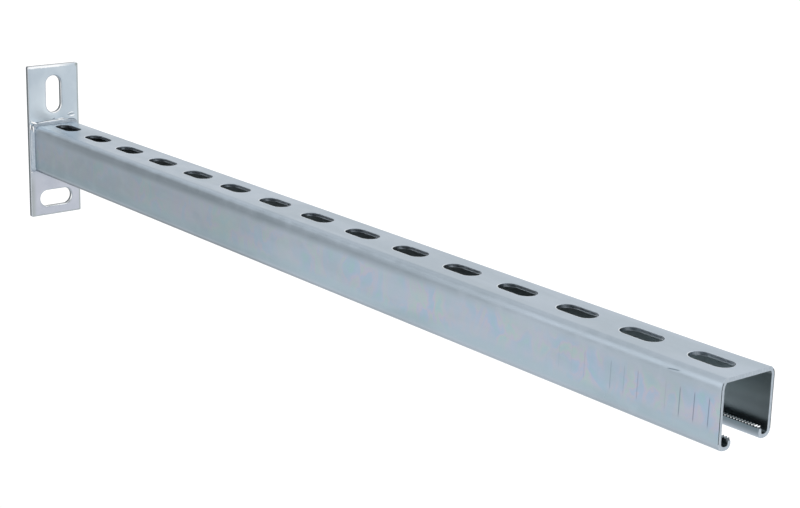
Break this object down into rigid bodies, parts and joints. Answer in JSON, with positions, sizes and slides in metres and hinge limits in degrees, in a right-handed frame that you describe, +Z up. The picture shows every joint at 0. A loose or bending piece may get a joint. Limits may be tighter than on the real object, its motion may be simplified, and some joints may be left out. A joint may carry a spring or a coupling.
{
  "type": "cantilever strut arm",
  "caption": "Cantilever support arm: slotted lipped channel welded square to a flat wall plate with an upright and a level fixing slot.",
  "frame": {"origin": "centre of the plate's wall face", "axes": "+X out from the wall along the arm, +Z up, open side of the channel facing down, -Y the side that the picture shows"},
  "size_m": [0.754, 0.048, 0.132],
  "materials": {
    "channel_zinc": "zinc plated, satin, faint iridescence",
    "plate_zinc": "zinc plated, satin",
    "weld_zinc": "zinc plated over weld beads, glossy"
  },
  "bodies": {
    "root": {"strut_channel": "channel_zinc", "back_plate": "plate_zinc", "top_weld": "weld_zinc", "left_weld": "weld_zinc", "right_weld": "weld_zinc"}
  },
  "joints": []
}
